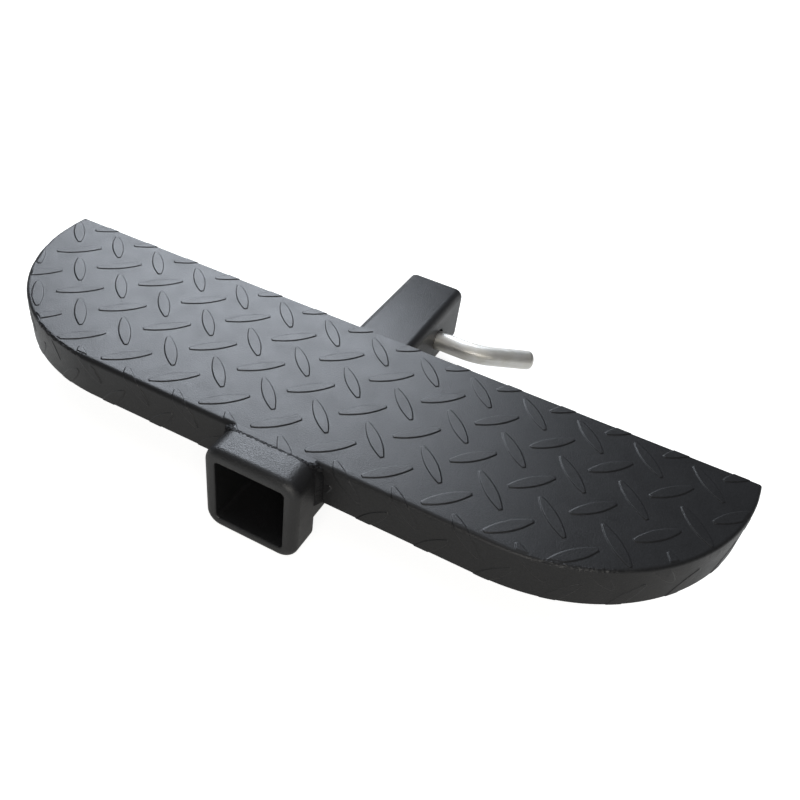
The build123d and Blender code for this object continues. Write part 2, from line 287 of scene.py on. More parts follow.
def zinc_plate(name):
    """Bright zinc plate with faint drawing marks along the bar."""
    material, tree, shader = node_material(name)
    tone = ramp_node(
        tree, noise_node(tree, 70.0, 5.0, 0.6),
        [(0.30, (0.82, 0.79, 0.71, 1)), (0.55, (0.92, 0.90, 0.85, 1)), (0.75, (0.97, 0.96, 0.93, 1))],
    )
    tree.links.new(tone, shader.inputs["Base Color"])
    rough = range_node(tree, noise_node(tree, 420.0, 4.0, 0.6, (0.06, 1, 1)), 0.38, 0.5)
    tree.links.new(rough, shader.inputs["Roughness"])
    marks = bump_node(tree, noise_node(tree, 900.0, 3.0, 0.6, (0.05, 1, 1)), 0.12, 0.00012)
    tree.links.new(marks, shader.inputs["Normal"])
    shader.inputs["Metallic"].default_value = 1.0
    return material


coat = powder_coat(
    "powder_coat_black", dark=(0.011, 0.011, 0.0115, 1), light=(0.021, 0.021, 0.022, 1),
    rough_low=0.35, rough_high=0.42, peel=0.17, gloss=0.43,
)
collar_coat = powder_coat(
    "powder_coat_collar", dark=(0.009, 0.009, 0.0094, 1), light=(0.018, 0.018, 0.0188, 1),
    rough_low=0.33, rough_high=0.41, peel=0.3, gloss=0.63,
)
weld_coat = powder_coat(
    "powder_coat_over_weld", dark=(0.004, 0.004, 0.0045, 1), light=(0.014, 0.014, 0.015, 1),
    rough_low=0.46, rough_high=0.62, peel=0.34, gloss=0.26,
)
zinc = zinc_plate("bright_zinc_plate")


# Tread plate, worked on the flat sheet: u along it, v from the rear edge over the fold and down the skirt
def plan(s):
    """Point of the deck's outline and its outward direction, a distance s along it from the middle."""
    side = 1 if s > 0 else -1
    beyond = max(abs(s) - FRONT_HALF, 0)
    turn = min(beyond / END_RADIUS, pi / 2)
    straight = max(beyond - END_RADIUS * pi / 2, 0)
    nx, ny = side * sin(turn), -cos(turn)
    x = max(min(s, FRONT_HALF), -FRONT_HALF) + END_RADIUS * nx
    y = DECK_REAR - DECK_SIDE + END_RADIUS * ny + straight
    return x, y, nx, ny


# Ground rim: its mean radius, the run over which the fold becomes it, and its waves as length, height, seed
GROUND_RADIUS, GROUND_BLEND = 2.4, 22.0
GROUND_WAVES = ((11.0, 0.45, 3.1), (3.5, 0.3, 8.7), (1.7, 0.3, 5.3))


def rim_radius(s):
    """Rounding of the deck's edge: the fold along the front, a ground weld round the ends."""
    beyond = abs(s) - FRONT_HALF
    if beyond <= 0:
        return FOLD
    ground = GROUND_RADIUS
    for length, height, seed in GROUND_WAVES:
        ground += height * wave(s / length, seed)
    return FOLD + (ground - FOLD) * smooth(beyond / GROUND_BLEND)


def edge_distance(x, v):
    """Distance of a point of the deck inside its outline, and the place s on the outline beside it."""
    side = 1 if x > 0 else -1
    beyond = abs(x) - FRONT_HALF
    if beyond > 0 and v > DECK_SIDE:
        turn = atan2(beyond, v - DECK_SIDE)
        return END_RADIUS - hypot(beyond, v - DECK_SIDE), side * (FRONT_HALF + END_RADIUS * turn)
    if beyond > 0:
        return DECK_LENGTH / 2 - abs(x), side * (HALF_SKIRT - v)
    return min(DECK_LENGTH / 2 - abs(x), DECK_DEPTH - v), x


BOW_RADIUS = ((LUG_BOW_LENGTH / 2) ** 2 + (LUG_WIDTH / 2) ** 2) / LUG_WIDTH
BOW_CENTRE = BOW_RADIUS - LUG_WIDTH / 2
# Share of its reach that a lug may lie past the deck, how its height fades at edges and at the skirt's seams,
# and the share of it that is lost on a wrapped skirt
LUG_OVERHANG = 0.6
LUG_FADE, SEAM_FADE = 3.0, 4.0
WRAP_LOSS, WRAP_FADE = 0.4, 10.0
# Rings of points round each lug: how far inside its outline, and steps along a bow
LUG_RINGS = ((-0.5, 11), (-LUG_FOOT, 11), (0.06, 11), (0.25, 11), (LUG_SIDE, 10), (0.9, 9))
LUG_CELL = 24


class Lug:
    """Raised lug on the flat sheet: two bows, with the tips cut blunt by a circle."""

    def __init__(self, u, v, lean):
        self.u, self.v = u, v
        self.cos, self.sin = cos(radians(lean)), sin(radians(lean))

    def place(self, a, b):
        return self.u + a * self.cos - b * self.sin, self.v - (a * self.sin + b * self.cos)

    def depth(self, u, v):
        """How far inside the lug's outline a point of the sheet is, negative outside."""
        du, dv = u - self.u, self.v - v
        a = du * self.cos + dv * self.sin
        b = abs(-du * self.sin + dv * self.cos)
        return min(BOW_RADIUS - hypot(a, b + BOW_CENTRE), LUG_LENGTH / 2 - hypot(a, b))

    def outline(self, inset, count):
        """Closed ring of points at a distance inside the outline."""
        radius, tip = BOW_RADIUS - inset, LUG_LENGTH / 2 - inset
        blunt = (radius ** 2 - tip ** 2 - BOW_CENTRE ** 2) / (2 * BOW_CENTRE)
        half = sqrt(tip ** 2 - blunt ** 2)
        ring = []
        for sign in (-1, 1):
            for k in range(count + 1):
                a = half * cos(pi * k / count)
                b = sqrt(radius ** 2 - a ** 2) - BOW_CENTRE
                ring.append(self.place(sign * a, sign * b))
            ring.append(self.place(-sign * tip, 0))
        return ring


def lug_profile(depth):
    """Height of a lug at a depth inside its outline."""
    return LUG_HEIGHT * smooth((depth + LUG_FOOT) / (LUG_SIDE + LUG_FOOT))


deck_lugs, skirt_lugs = [], []
columns = ceil(HALF_SKIRT / LUG_PITCH_X) + 1
rows = ceil(SHEET_END / LUG_PITCH_Y) + 1
for row in range(rows):
    for column in range(-columns, columns + 1):
        for lean, shift in ((-LUG_LEAN, 0.0), (LUG_LEAN, 0.5)):
            u = LUG_FIRST_X + (column + shift) * LUG_PITCH_X
            v = LUG_FIRST_ROW + (row - shift) * LUG_PITCH_Y
            lug = Lug(u, v, lean)
            over_fold = v + LUG_REACH > FOLD_START
            beside = FRONT_HALF + (LUG_REACH if v - LUG_REACH > FOLD_END else 0)
            on_front = over_fold and abs(u) < beside
            if on_front or edge_distance(u, v)[0] > -LUG_OVERHANG * LUG_REACH:
                deck_lugs.append(lug)
            if over_fold and abs(u) < HALF_SKIRT:
                skirt_lugs.append(lug)


def lug_height(u, v, lugs, deck):
    """Height of the sheet's pattern at a point of the deck and front, or of a wrapped skirt."""
    height = max((lug_profile(lug.depth(u, v)) for lug in lugs), default=0.0)
    if height == 0:
        return 0.0
    seam = smooth((abs(u) - FRONT_HALF + SEAM_FADE) / SEAM_FADE)
    if deck and (v < FOLD_START or abs(u) > FRONT_HALF + BESIDE_SEAM):
        inside, s = edge_distance(u, v)
        edge = inside - rim_radius(s) if abs(u) > FRONT_HALF else FOLD_START - v
        height *= 1 - seam + seam * smooth(edge / LUG_RIM)
    elif deck:
        height *= 1 - seam + seam * smooth((v - FOLD_END) / LUG_FADE)
        if NOTCH_HALF <= abs(u):
            under_bead = smooth((COLLAR_CLEAR + LUG_FADE - abs(u)) / LUG_FADE)
            height *= 1 - under_bead * smooth((v - FOLD_START) / LUG_FADE)
    else:
        top = FOLD_END + rim_radius(u) - FOLD
        wrapped = 1 - WRAP_LOSS * smooth((abs(u) - FRONT_HALF) / WRAP_FADE)
        height *= wrapped * smooth((v - top) / LUG_FADE)
    return height


def sheet_point(u, v, h):
    """Point of the deck and its tab, the front fold and the front skirt."""
    if v <= FOLD_START or abs(u) < (NOTCH_HALF + TAB_HALF) / 2 or abs(u) > FRONT_HALF + BESIDE_SEAM:
        return u, DECK_REAR - v, DECK_TOP + h
    if v < FOLD_END:
        turn = (v - FOLD_START) / FOLD
        return u, DECK_FRONT + FOLD - (FOLD + h) * sin(turn), DECK_TOP - FOLD + (FOLD + h) * cos(turn)
    return u, DECK_FRONT - h, DECK_TOP - FOLD - (v - FOLD_END)


def skirt_point(u, v, h):
    """Point of a skirt wrapped round an end."""
    x, y, nx, ny = plan(u)
    return x + nx * h, y + ny * h, DECK_TOP - FOLD - (v - FOLD_END)


def inside_outline(points, outline):
    """Which points lie inside a closed outline."""
    result = np.zeros(len(points), bool)
    px, py = points[:, 0], points[:, 1]
    for (x0, y0), (x1, y1) in zip(outline, outline[1:] + outline[:1]):
        if y0 == y1:
            continue
        crosses = (y0 > py) != (y1 > py)
        result ^= crosses & (px < (x1 - x0) * (py - y0) / (y1 - y0) + x0)
    return result


def pattern_patch(shell, outline, lines, lugs, place, deck):
    """Triangles of the sheet inside an outline, with the lugs raised; returns each vertex's u, v."""
    low = np.min(np.array(outline), axis=0)
    high = np.max(np.array(outline), axis=0)
    points, edges = [Vector(p) for p in outline], []
    for line in lines:
        edges.append((len(points), len(points) + 1))
        points += [Vector(line[0]), Vector(line[1])]
    near = []
    reach = LUG_LENGTH / 2 + 1
    for lug in lugs:
        if low[0] - reach < lug.u < high[0] + reach and low[1] - reach < lug.v < high[1] + reach:
            near.append(lug)
    for lug in near:
        for inset, count in LUG_RINGS:
            ring = lug.outline(inset, count)
            first = len(points)
            points += [Vector(p) for p in ring]
            edges += [(first + k, first + (k + 1) % len(ring)) for k in range(len(ring))]
    border = [list(range(len(outline)))]
    verts, _, faces, _, _, _ = delaunay_2d_cdt(points, edges, border, 1, PATCH_REACH)
    flat = np.array([tuple(p) for p in verts])
    centres = np.array([flat[list(face)].mean(axis=0) for face in faces])
    kept = inside_outline(centres, outline)
    cells = {}
    for lug in near:
        for i in range(-1, 2):
            for j in range(-1, 2):
                cell = (int(lug.u // LUG_CELL) + i, int(lug.v // LUG_CELL) + j)
                cells.setdefault(cell, []).append(lug)
    index, places = {}, {}
    for keep, face in zip(kept, faces):
        if not keep:
            continue
        corners = []
        for k in face:
            if k not in index:
                u, v = flat[k]
                beside = cells.get((int(u // LUG_CELL), int(v // LUG_CELL)), [])
                h = lug_height(u, v, beside, deck)
                index[k] = shell.add(place(u, v, h))
                places[index[k]] = (u, v)
            corners.append(index[k])
        shell.faces.append(tuple(corners))
    return places


def spread(first, last, step):
    """Evenly spaced values from first to last, about a step apart."""
    count = max(1, round(abs(last - first) / step))
    return [first + (last - first) * k / count for k in range(count + 1)]


# Steps along the sheet's outlines and round its bends
FOLD_STEPS, RIM_STEPS, BEND_STEPS = 6, 6, 4
ROUND_STEP, SIDE_STEP, DOWN_STEP = 1.5, 4.4, 5.0
FRONT_STEP, REAR_STEP, TAB_STEP = 12.0, 20.0, 2.0
RIM_INSETS = (LUG_RIM, LUG_RIM + 0.4)
# Rough stretches of the ground rim, from where a round end starts
GRIND_RIGHT, GRIND_LEFT = (18.0, 84.0), (2.0, 74.0)
GRIND_STEP, GRIND_FADE, GRIND_POINTS, GRIND_SINK = 0.6, 9.0, 10, 0.1
GRIND_START, GRIND_SWEEP = 0.03, 0.94
GRIND_MEAN, GRIND_COARSE, GRIND_FINE = 0.15, 0.40, 0.25

END_PLACES = spread(FRONT_HALF, FRONT_HALF + END_RADIUS * pi / 2, ROUND_STEP)
END_PLACES += spread(FRONT_HALF + END_RADIUS * pi / 2, HALF_SKIRT, SIDE_STEP)[1:]


def ground_seam(shell, side, first, last):
    """Rough stretch of the rim, where a weld has been ground back."""
    rings = []
    end = GRIND_POINTS - 1
    for s in spread(first, last, GRIND_STEP):
        x, y, nx, ny = plan(side * s)
        r = rim_radius(side * s)
        fade = smooth((s - first) / GRIND_FADE) * smooth((last - s) / GRIND_FADE)
        ring = [(x - r * nx, y - r * ny, DECK_TOP - r)]
        for k in range(GRIND_POINTS):
            turn = pi / 2 * (GRIND_START + GRIND_SWEEP * k / end)
            rough = GRIND_MEAN + GRIND_COARSE * wave(s / 1.6, k / 1.7, side)
            rough += GRIND_FINE * wave(s / 0.8, k / 0.9, 5 + side)
            out = r - GRIND_SINK + fade * (GRIND_SINK + min(k, end - k, 1) * rough)
            d = r - out * sin(turn)
            ring.append((x - d * nx, y - d * ny, DECK_TOP - r + out * cos(turn)))
        rings.append(ring)
    made = shell.rings(rings)
    shell.faces += [tuple(made[0]), tuple(made[-1])]


def rim_line(side, inset):
    """Line on the flat deck round one end, a distance inside the start of its rounded rim."""
    line = []
    for s in END_PLACES:
        x, y, nx, ny = plan(side * s)
        d = rim_radius(side * s) + inset
        line.append((x - d * nx, DECK_REAR - (y - d * ny)))
    return line


def deck_outline(folds):
    """Flat outline of the deck, front fold and front skirt, with the notch and tab for the collar."""
    right, left = rim_line(1, 0.0), rim_line(-1, 0.0)
    seam = folds[1:] + spread(FOLD_END, SHEET_END, DOWN_STEP)[1:]
    tab_side = spread(FOLD_START, TAB_END, TAB_STEP)[1:]
    outline = [(FRONT_HALF, v) for v in reversed(seam)] + right
    outline += [(u, 0.0) for u in spread(right[-1][0], left[-1][0], REAR_STEP)[1:-1]]
    outline += left[::-1] + [(-FRONT_HALF, v) for v in seam]
    outline += [(u, SHEET_END) for u in spread(-FRONT_HALF, -NOTCH_HALF, FRONT_STEP)[1:]]
    outline += [(-NOTCH_HALF, NOTCH_TOP), (-NOTCH_HALF, FOLD_START)]
    outline += [(-TAB_HALF, v) for v in tab_side]
    outline += [(TAB_HALF, v) for v in reversed(tab_side)]
    outline += [(NOTCH_HALF, FOLD_START), (NOTCH_HALF, NOTCH_TOP)]
    outline += [(u, SHEET_END) for u in spread(NOTCH_HALF, FRONT_HALF, FRONT_STEP)[:-1]]
    return outline


def chain_along(places, axis, test):
    """Vertices whose u, v pass a test, in order along u (axis 0) or v (axis 1)."""
    picked = [k for k, (u, v) in places.items() if test(u, v)]
    return sorted(picked, key=lambda k: places[k][axis])


def round_end(shell, side):
    """Rounded rim and wrapped skirt of one end; returns the skirt's places and the end's outer edge."""
    rings = []
    for s in END_PLACES:
        x, y, nx, ny = plan(side * s)
        r = rim_radius(side * s)
        ring = []
        for k in range(RIM_STEPS + 1):
            turn = pi / 2 * k / RIM_STEPS
            d = r - r * sin(turn)
            ring.append((x - d * nx, y - d * ny, DECK_TOP - r + r * cos(turn)))
        rings.append(ring)
    rim_rows = shell.rings(rings, around=False)
    tops = [(side * s, FOLD_END + rim_radius(side * s) - FOLD) for s in END_PLACES]
    depth = spread(FOLD_END, SHEET_END, DOWN_STEP)[1:]
    outline = tops + [(side * HALF_SKIRT, v) for v in depth]
    outline += [(side * s, SHEET_END) for s in reversed(END_PLACES[:-1])]
    outline += [(side * FRONT_HALF, v) for v in reversed(depth[:-1])]
    lines = [(top, (top[0], SHEET_END)) for top in tops[1:-1]]
    wrapped = pattern_patch(shell, outline, lines, skirt_lugs, skirt_point, deck=False)
    down = chain_along(wrapped, 1, lambda u, v: abs(u) > HALF_SKIRT - ON_LINE)
    return wrapped, rim_rows[-1] + down[1:]


def tread_plate():
    shell = Shell()

    # Deck, front fold and front skirt
    folds = [FOLD_START + (FOLD_END - FOLD_START) * k / FOLD_STEPS for k in range(FOLD_STEPS + 1)]
    lines = [((-FRONT_HALF, v), (FRONT_HALF, v)) for v in folds]
    for side in (-1, 1):
        for inset in RIM_INSETS:
            inner = rim_line(side, inset)[1:-1]
            lines += list(zip(inner, inner[1:]))
    places = pattern_patch(shell, deck_outline(folds), lines, deck_lugs, sheet_point, deck=True)

    # Round ends, and the lower edge of the whole skirt on each side
    bottoms, ends = {}, {}
    for side in (-1, 1):
        bottoms[side] = [k for k, (u, v) in places.items() if v > SHEET_END - ON_LINE and u * side > 0]
    for side in (-1, 1):
        wrapped, ends[side] = round_end(shell, side)
        bottoms[side] += [k for k, (u, v) in wrapped.items() if v > SHEET_END - ON_LINE]
        places.update(wrapped)

    # Inside of the skirt, inner bend and underside
    bend = [(SHEET, SKIRT_BOTTOM)]
    for k in range(BEND_STEPS + 1):
        turn = pi / 2 * k / BEND_STEPS
        bend.append((FOLD - INNER_BEND * cos(turn), DECK_UNDER - INNER_BEND + INNER_BEND * sin(turn)))
    stations = spread(NOTCH_HALF, FRONT_HALF, FRONT_STEP)[:-1] + END_PLACES
    under, tab_foot = {}, {}
    for side in (-1, 1):
        rings = []
        for s in stations:
            x, y, nx, ny = plan(side * s)
            rings.append([(x - d * nx, y - d * ny, z) for d, z in bend])
        rows_in = shell.rings(rings, around=False)
        under[side] = rows_in
        chain = sorted(bottoms[side], key=lambda k: abs(places[k][0]))
        inner = [row[0] for row in rows_in]
        along = {k: abs(places[k][0]) for k in chain}
        along.update(zip(inner, stations))
        shell.join_chains(chain, inner, along)
        shell.faces.append(tuple(ends[side] + rows_in[-1]))

        # Side of the notch and of the tab
        cut = chain_along(
            places, 1, lambda u, v: abs(u - side * NOTCH_HALF) < ON_LINE and v > FOLD_START - ON_LINE
        )
        level = next(i for i, k in enumerate(cut) if places[k][1] > NOTCH_TOP - ON_LINE)
        shell.faces.append(tuple(cut[level:] + rows_in[0]))
        tab = chain_along(
            places, 1,
            lambda u, v: TAB_HALF - ON_LINE < side * u < NOTCH_HALF - ON_LINE and v > FOLD_START + ON_LINE,
        )
        foot = shell.add((side * TAB_HALF, COLLAR_REAR, DECK_UNDER))
        shell.faces.append(tuple(cut[level::-1] + tab + [foot]))
        tab_foot[side] = [foot, cut[level]]
    shell.faces.append(tuple(
        [row[-1] for row in under[1]] + [row[-1] for row in reversed(under[-1])]
        + tab_foot[-1][::-1] + tab_foot[1]
    ))

    # Front edge of the tab and rear edge of the deck
    front = chain_along(places, 0, lambda u, v: v > TAB_END - ON_LINE and abs(u) < NOTCH_HALF)
    shell.faces.append(tuple(front + [tab_foot[1][0], tab_foot[-1][0]]))
    rear = chain_along(places, 0, lambda u, v: v < ON_LINE and abs(u) < DECK_LENGTH / 2 - 1)
    shell.faces.append(tuple(rear + [under[1][-1][-1], under[-1][-1][-1]]))

    for side, (first, last) in ((1, GRIND_RIGHT), (-1, GRIND_LEFT)):
        ground_seam(shell, side, FRONT_HALF + first, FRONT_HALF + last)
    return shell.mesh("tread_plate", PLATE_SHARP)


finish_piece(
    tread_plate(), coat, "step", "powder_coat", "tread_deck", "corner_weld_left", "corner_weld_right"
)


# Square tubes
CORNER_STEPS = 10
QUARTERS = ((1, 1), (-1, 1), (-1, -1), (1, -1))


def square_loop(size, corner, y):
    """Rounded square across Y."""
    half = size / 2 - corner
    loop = []
    for quarter, (cx, cz) in enumerate(QUARTERS):
        for k in range(CORNER_STEPS + 1):
            a = pi / 2 * (quarter + k / CORNER_STEPS)
            loop.append((cx * half + corner * cos(a), y, cz * half + corner * sin(a)))
    return loop


def square_tube(name, rings):
    """Tube from rings of (size, corner radius, y), over its outside and back along its bore."""
    shell = Shell()
    shell.rings([square_loop(*ring) for ring in rings], closed=True)
    return shell.mesh(name)


# Broken edges of the collar's back and mouth
COLLAR_BREAK, MOUTH_BREAK = 0.4, 1.2
COLLAR_STEPS, MOUTH_STEPS = 12, 4

collar_rings = [
    (COLLAR - 2 * COLLAR_BREAK, COLLAR_CORNER - COLLAR_BREAK, COLLAR_REAR),
    (COLLAR, COLLAR_CORNER, COLLAR_REAR - COLLAR_BREAK),
]
for k in range(COLLAR_STEPS + 1):
    turn = pi / 2 * k / COLLAR_STEPS
    inset = COLLAR_ROUND * (1 - cos(turn))
    collar_rings.append(
        (COLLAR - 2 * inset, COLLAR_CORNER - inset, COLLAR_FRONT + COLLAR_ROUND * (1 - sin(turn)))
    )
for k in range(MOUTH_STEPS + 1):
    turn = pi / 2 * k / MOUTH_STEPS
    grow = MOUTH_BREAK * (1 - sin(turn))
    collar_rings.append(
        (OPENING + 2 * grow, OPENING_CORNER + grow, COLLAR_FRONT + MOUTH_BREAK * (1 - cos(turn)))
    )
collar_rings += [
    (OPENING, OPENING_CORNER, TUBE_FRONT), (TUBE, TUBE_CORNER, TUBE_FRONT), (TUBE, TUBE_CORNER, COLLAR_REAR)
]
finish_piece(square_tube("collar", collar_rings), collar_coat, "step", "powder_coat", "receiver_collar")

tube = square_tube(
    "receiver",
    [(TUBE, TUBE_CORNER, TUBE_REAR), (TUBE, TUBE_CORNER, TUBE_FRONT), (OPENING, OPENING_CORNER, TUBE_FRONT),
     (OPENING, OPENING_CORNER, TUBE_REAR)],
)
cut_round(tube, 0, RECEIVER_PIN_Y, 0, RECEIVER_PIN_HOLE, "X")
finish_piece(tube, collar_coat, "step", "powder_coat", "receiver_tube")

# Broken edges of the shank's end, as inset and distance from the end
SHANK_EDGE = ((0.0, 0.9), (0.25, 0.3), (0.8, 0.0))
BORE_EDGE = ((0.6, 0.0), (0.0, 0.7))

shank_rings = [(SHANK, SHANK_CORNER, SHANK_FRONT)]
shank_rings += [(SHANK - 2 * inset, SHANK_CORNER - inset, SHANK_END - back) for inset, back in SHANK_EDGE]
shank_rings += [(SHANK_BORE + 2 * inset, BORE_CORNER + inset, SHANK_END - back) for inset, back in BORE_EDGE]
shank_rings.append((SHANK_BORE, BORE_CORNER, SHANK_FRONT))
shank = square_tube("shank", shank_rings)
cut_round(shank, 0, 0, 0, SHANK_PIN_HOLE, "X")
finish_piece(shank, coat, "step", "powder_coat", "hitch_shank")


# Bent pin: rings of its tip as distance and radius, its steps along, and the rounding of its far end
PIN_TIP_RINGS = ((0.0, 4.6), (0.35, 5.3), (2.6, 7.85), (3.2, 8.0))
PIN_HANDLE_RINGS = (8.0, 16.0, 24.0, 31.0)
PIN_STEP, PIN_BEND_STEPS, PIN_END_STEPS, PIN_SIDES = 6.0, 14, 8, 48
PIN_END_ROUND = 4.2


def pin_piece():
    """Pin lying flat, its straight run along X and its handle bent towards Y."""
    bend = radians(PIN_BEND_ANGLE)
    path = []
    for x, r in PIN_TIP_RINGS:
        path.append((PIN_TIP + x, 0.0, 1.0, 0.0, r))
    for x in spread(PIN_TIP + PIN_STEP, PIN_BEND_X, PIN_STEP):
        path.append((x, 0.0, 1.0, 0.0, PIN_RADIUS))
    for k in range(1, PIN_BEND_STEPS + 1):
        a = bend * k / PIN_BEND_STEPS
        x, y = PIN_BEND_X + PIN_BEND_RADIUS * sin(a), PIN_BEND_RADIUS * (1 - cos(a))
        path.append((x, y, cos(a), sin(a), PIN_RADIUS))
    end_x = PIN_BEND_X + PIN_BEND_RADIUS * sin(bend)
    end_y = PIN_BEND_RADIUS * (1 - cos(bend))
    tail = [(d, PIN_RADIUS) for d in PIN_HANDLE_RINGS + (PIN_HANDLE - PIN_END_ROUND,)]
    for k in range(1, PIN_END_STEPS + 1):
        a = pi / 2 * k / PIN_END_STEPS
        tail.append((PIN_HANDLE - PIN_END_ROUND * (1 - sin(a)), PIN_RADIUS - PIN_END_ROUND * (1 - cos(a))))
    for d, r in tail:
        path.append((end_x + d * cos(bend), end_y + d * sin(bend), cos(bend), sin(bend), r))
    shell = Shell()
    rings = []
    for x, y, tx, ty, r in path:
        ring = []
        for k in range(PIN_SIDES):
            a = 2 * pi * k / PIN_SIDES
            across = r * cos(a)
            ring.append((x - ty * across, y + tx * across, r * sin(a)))
        rings.append(ring)
    made = shell.rings(rings)
    shell.faces += [tuple(made[0]), tuple(made[-1])]
    return shell.mesh("pin_bar", PIN_SHARP)


pin = pin_piece()
cut_round(pin, CLIP_HOLE_X, 0, 0, CLIP_HOLE, "Z", PIN_SHARP)
pin.data.transform(Matrix.Translation((0, 0, PIN_LEVEL * MM)) @ Matrix.Rotation(radians(-PIN_DROOP), 4, "X"))
finish_piece(pin, zinc, "pin", "pin_metal", "hitch_pin")


# Weld beads: the length of a ripple, points across a bead, and how far its toes sink in
RIPPLE_LENGTH, BEAD_POINTS, TOE_SINK = 3.3, 8, 0.12
LUMP_RINGS, LUMP_SIDES = 12, 24


def bead(shell, toes, seed, bulge, ripple=0.35, rough=0.2, closed=False):
    """Uneven bead between two lines of toes; toes holds (first toe, second toe, root) for each step."""
    rings = []
    run = 0.0
    last = None
    for first, second, root in toes:
        first, second, root = Vector(first), Vector(second), Vector(root)
        middle = (first + second) / 2
        if last is not None:
            run += (middle - last).length
        last = middle
        out = (middle - root).normalized()
        across = (second - first).normalized()
        scale = abs(sin(pi * (run / RIPPLE_LENGTH + 0.6 * wave(run / 7.0, seed))))
        crown = bulge * (1 - ripple + ripple * scale)
        crown += rough * (wave(run / 2.6, seed, 5.0) + 0.7 * wave(run / 1.1, seed, 9.0))
        spill = rough * wave(run / 1.8, seed, 1.0) - TOE_SINK
        ring = []
        for k in range(BEAD_POINTS + 1):
            t = k / BEAD_POINTS
            p = first + (second - first) * t + out * crown * 4 * t * (1 - t) * 0.9
            p -= across * spill * (1 - 2 * t)
            ring.append(p)
        ring.append(root)
        rings.append(ring)
    made = shell.rings(rings, closed=closed)
    if not closed:
        shell.faces += [tuple(made[0]), tuple(made[-1])]


def blob(shell, centre, radii, seed):
    """Lump of weld metal."""
    rings = []
    for i in range(1, LUMP_RINGS):
        up = pi * i / LUMP_RINGS
        ring = []
        for k in range(LUMP_SIDES):
            a = 2 * pi * k / LUMP_SIDES
            way = Vector((sin(up) * cos(a), sin(up) * sin(a), cos(up)))
            swell = 1 + 0.4 * wave(2.6 * way.x + seed, 2.6 * way.y, 2.6 * way.z)
            ring.append([c + r * swell * w for c, r, w in zip(centre, radii, way)])
        rings.append(ring)
    made = shell.rings(rings)
    shell.faces += [tuple(made[0]), tuple(made[-1])]


def square_path(size, corner, step):
    """Points (x, z) and outward directions round a rounded square."""
    half = size / 2 - corner
    path = []
    for quarter, (cx, cz) in enumerate(QUARTERS):
        turns = max(3, int(corner * pi / 2 / step))
        for k in range(turns):
            a = pi / 2 * (quarter + k / turns)
            path.append((cx * half + corner * cos(a), cz * half + corner * sin(a), cos(a), sin(a)))
        a = pi / 2 * (quarter + 1)
        start = (cx * half + corner * cos(a), cz * half + corner * sin(a))
        runs = max(1, int(2 * half / step))
        for k in range(runs):
            x = start[0] - sin(a) * 2 * half * k / runs
            z = start[1] + cos(a) * 2 * half * k / runs
            path.append((x, z, cos(a), sin(a)))
    return path


def collar_half(z):
    """Half width of the collar at a height, or its half height at a distance across."""
    over = max(z - COLLAR / 2 + COLLAR_CORNER, 0)
    return COLLAR / 2 - COLLAR_CORNER + sqrt(COLLAR_CORNER ** 2 - over ** 2)


def weld_piece(shell, name, node):
    """Makes a bead's piece, under the powder coat made for the welds."""
    finish_piece(shell.mesh(name, WELD_SHARP), weld_coat, "step", "powder_coat", node)


# Steps along a bead, and the places and legs of the beads
FINE_STEP, WELD_STEP = 0.4, 0.5
FRONT_BEAD_HALF, FRONT_BEAD_BACK, FRONT_BEAD_AHEAD = 28.5, 2.6, 1.2
SIDE_LEG, SIDE_LEG_TOP, SIDE_TAPER_FROM, SIDE_TAPER = 3.0, 1.3, 22.0, 10.0
STITCHES, STITCH_HALF, STITCH_WIDE, STITCH_DEEP, STITCH_ROOT = 3, 15.9, 4.5, 7.4, 3.0
RING_LEG, RING_TOE = 4.0, 0.4
# Lumps where the front and side beads meet: place across, behind the collar and below the deck, size, seed
CORNER_LUMPS = ((29.2, 1.3, 0.4, 2.4, 1.1), (31.4, 3.3, 1.1, 2.5, 3.7), (34.0, 4.2, 2.9, 2.2, 7.9))

front_toes = []
for x in spread(-FRONT_BEAD_HALF, FRONT_BEAD_HALF, FINE_STEP):
    front_toes.append((
        (x, COLLAR_REAR + FRONT_BEAD_BACK, DECK_TOP),
        (x, COLLAR_REAR - FRONT_BEAD_AHEAD, collar_half(abs(x))),
        (x, COLLAR_REAR, DECK_TOP - 0.3),
    ))
front_bead = Shell()
bead(front_bead, front_toes, seed=1.3, bulge=1.3, ripple=0.25, rough=0.5)
weld_piece(front_bead, "front_bead", "deck_front_weld")

